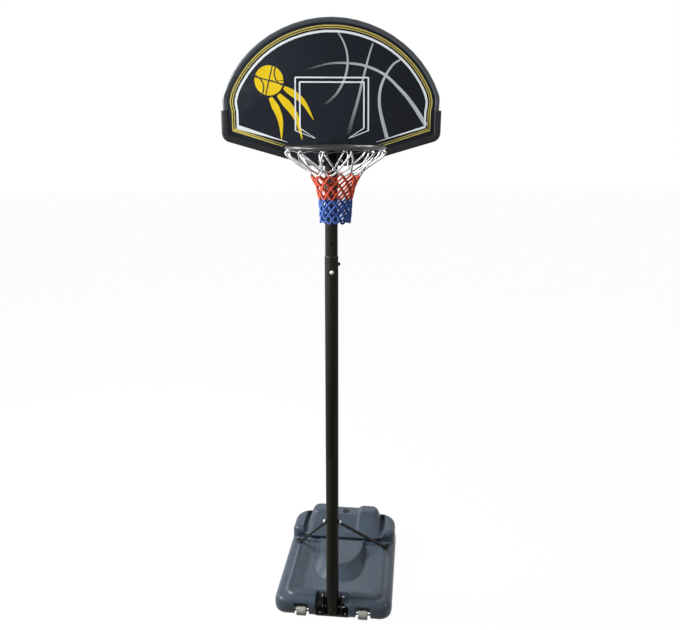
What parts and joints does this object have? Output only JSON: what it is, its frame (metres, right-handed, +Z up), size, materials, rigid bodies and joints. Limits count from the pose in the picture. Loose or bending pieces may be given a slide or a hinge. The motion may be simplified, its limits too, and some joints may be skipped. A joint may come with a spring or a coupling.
{
  "type": "adjustable basketball stand",
  "caption": "Portable basketball stand: weighted wheeled base, braced height-adjustable pole, half-round board, ring and coloured net.",
  "frame": {"origin": "on the floor under the pole's axis, in the plane of the base tank's flat underside", "axes": "+Z up along the pole, +X to the right as the board is faced, +Y to the back, so the ring reaches out towards -Y; the base stands turned 9.1 degrees clockwise, as seen from above, from the board"},
  "size_m": [1.12, 1.7071, 3.515],
  "materials": {
    "tank_plastic": "satin, lightly grained",
    "wheel_plastic": "satin",
    "pole_paint": "satin powder coat",
    "zinc": "zinc plated",
    "black_plastic": "satin",
    "board_plastic": "satin with a printed face",
    "border_plastic": "satin",
    "ring_paint": "glossy powder coat",
    "net_white": "knotted cord",
    "net_red": "knotted cord",
    "net_blue": "knotted cord"
  },
  "bodies": {
    "base": {"base_tank": "tank_plastic", "deck_plug_left": "black_plastic", "deck_plug_right": "black_plastic", "axle_pin_left": "pole_paint", "axle_pin_right": "pole_paint", "foot_bracket_left": "pole_paint", "foot_bracket_right": "pole_paint", "bracket_screw_1": "zinc", "bracket_screw_2": "zinc", "bracket_screw_3": "zinc", "bracket_screw_4": "zinc", "foot_bolt_low": "zinc", "foot_bolt_high": "zinc", "foot_spacer_low_left": "black_plastic", "foot_spacer_low_right": "black_plastic", "foot_spacer_high_left": "black_plastic", "foot_spacer_high_right": "black_plastic", "lower_pole": "pole_paint", "strut_left": "pole_paint", "strut_right": "pole_paint", "strut_bolt": "zinc", "strut_foot_bolt_left": "pole_paint", "strut_foot_bolt_right": "pole_paint"},
    "pole": {"middle_pole": "pole_paint", "guide_collar": "black_plastic", "clamp_nut": "pole_paint"},
    "mast": {"upper_pole": "pole_paint", "guide_bush": "black_plastic", "pole_cap": "black_plastic", "board_panel": "board_plastic", "board_border": "border_plastic", "board_guard": "border_plastic", "board_bracket_lower": "pole_paint", "board_bracket_upper": "pole_paint", "bracket_bolt_lower": "zinc", "bracket_bolt_upper": "zinc", "board_screw_1": "zinc", "board_screw_2": "zinc", "board_screw_3": "zinc", "board_screw_4": "zinc", "rim_bolt_1": "zinc", "rim_bolt_2": "zinc", "rim_bolt_3": "zinc", "rim_bolt_4": "zinc", "rim_bracket": "pole_paint", "rim_ring": "ring_paint", "net_hook_wire": "ring_paint", "net_white": "net_white", "net_red": "net_red", "net_blue": "net_blue"},
    "knob": {"clamp_knob": "black_plastic"},
    "locking_bolt": {"height_bolt": "zinc"},
    "cap": {"filler_cap": "black_plastic"},
    "left_wheel": {"wheel_left": "wheel_plastic"},
    "right_wheel": {"wheel_right": "wheel_plastic"}
  },
  "joints": [
    {"name": "pole_turn", "type": "hinge", "parent": "base", "child": "pole", "pos_m": [0, 0, 1.15], "axis": [0, 0, 1], "range_deg": [-20, 10]},
    {"name": "height_slide", "type": "slide", "parent": "pole", "child": "mast", "axis": [0, 0, 1], "range_m": [-0.6, 0.15]},
    {"name": "clamp_turn", "type": "hinge", "parent": "pole", "child": "knob", "pos_m": [0.05, 0, 2.257], "axis": [1, 0, 0], "range_deg": [0, 720]},
    {"name": "height_bolt_out", "type": "slide", "parent": "pole", "child": "locking_bolt", "axis": [0, -1, 0], "range_m": [0, 0.03]},
    {"name": "cap_pull", "type": "slide", "parent": "base", "child": "cap", "axis": [0, 0, 1], "range_m": [0, 0.05]},
    {"name": "left_wheel_turn", "type": "hinge", "parent": "base", "child": "left_wheel", "pos_m": [-0.1962, 0.00358, 0.035], "axis": [0.9874, -0.1582, 0], "continuous": true},
    {"name": "right_wheel_turn", "type": "hinge", "parent": "base", "child": "right_wheel", "pos_m": [0.18751, -0.05788, 0.035], "axis": [0.9874, -0.1582, 0], "continuous": true}
  ]
}
